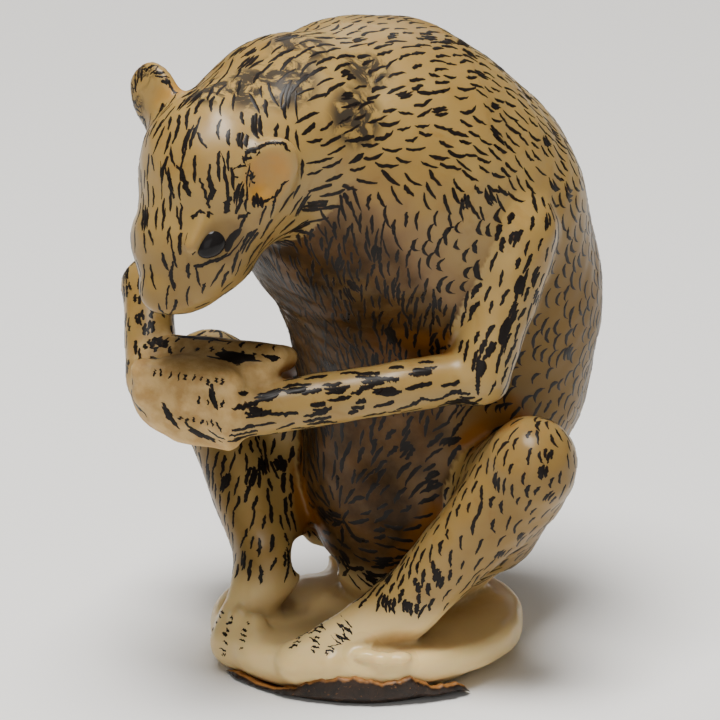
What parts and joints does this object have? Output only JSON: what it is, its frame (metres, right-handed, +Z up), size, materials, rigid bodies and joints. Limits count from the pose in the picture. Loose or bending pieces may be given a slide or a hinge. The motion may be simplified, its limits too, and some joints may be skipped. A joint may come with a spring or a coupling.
{
  "type": "carved nut animal figure",
  "caption": "Small free-standing figure of a seated, hunched long-limbed animal carved from vegetable ivory with inked fur, on its own round base.",
  "frame": {"origin": "centre of the round base, on its flat underside", "axes": "+Z up; the animal faces -Y, so its left side is +X"},
  "size_m": [0.0436, 0.0493, 0.0596],
  "materials": {
    "nut_flesh": "polished",
    "nut_skin": "satin",
    "black_lacquer": "gloss"
  },
  "bodies": {
    "root": {"base": "nut_flesh", "head": "nut_flesh", "hips": "nut_flesh", "left_ear": "nut_flesh", "left_eye": "black_lacquer", "left_foot": "nut_flesh", "left_forearm": "nut_flesh", "left_hand": "nut_flesh", "left_shin": "nut_flesh", "left_thigh": "nut_flesh", "left_upper_arm": "nut_flesh", "muzzle": "nut_flesh", "neck": "nut_flesh", "nut_skin": "nut_skin", "right_ear": "nut_flesh", "right_eye": "black_lacquer", "right_foot": "nut_flesh", "right_forearm": "nut_flesh", "right_hand": "nut_flesh", "right_shin": "nut_flesh", "right_thigh": "nut_flesh", "right_upper_arm": "nut_flesh", "torso": "nut_flesh"}
  },
  "joints": []
}
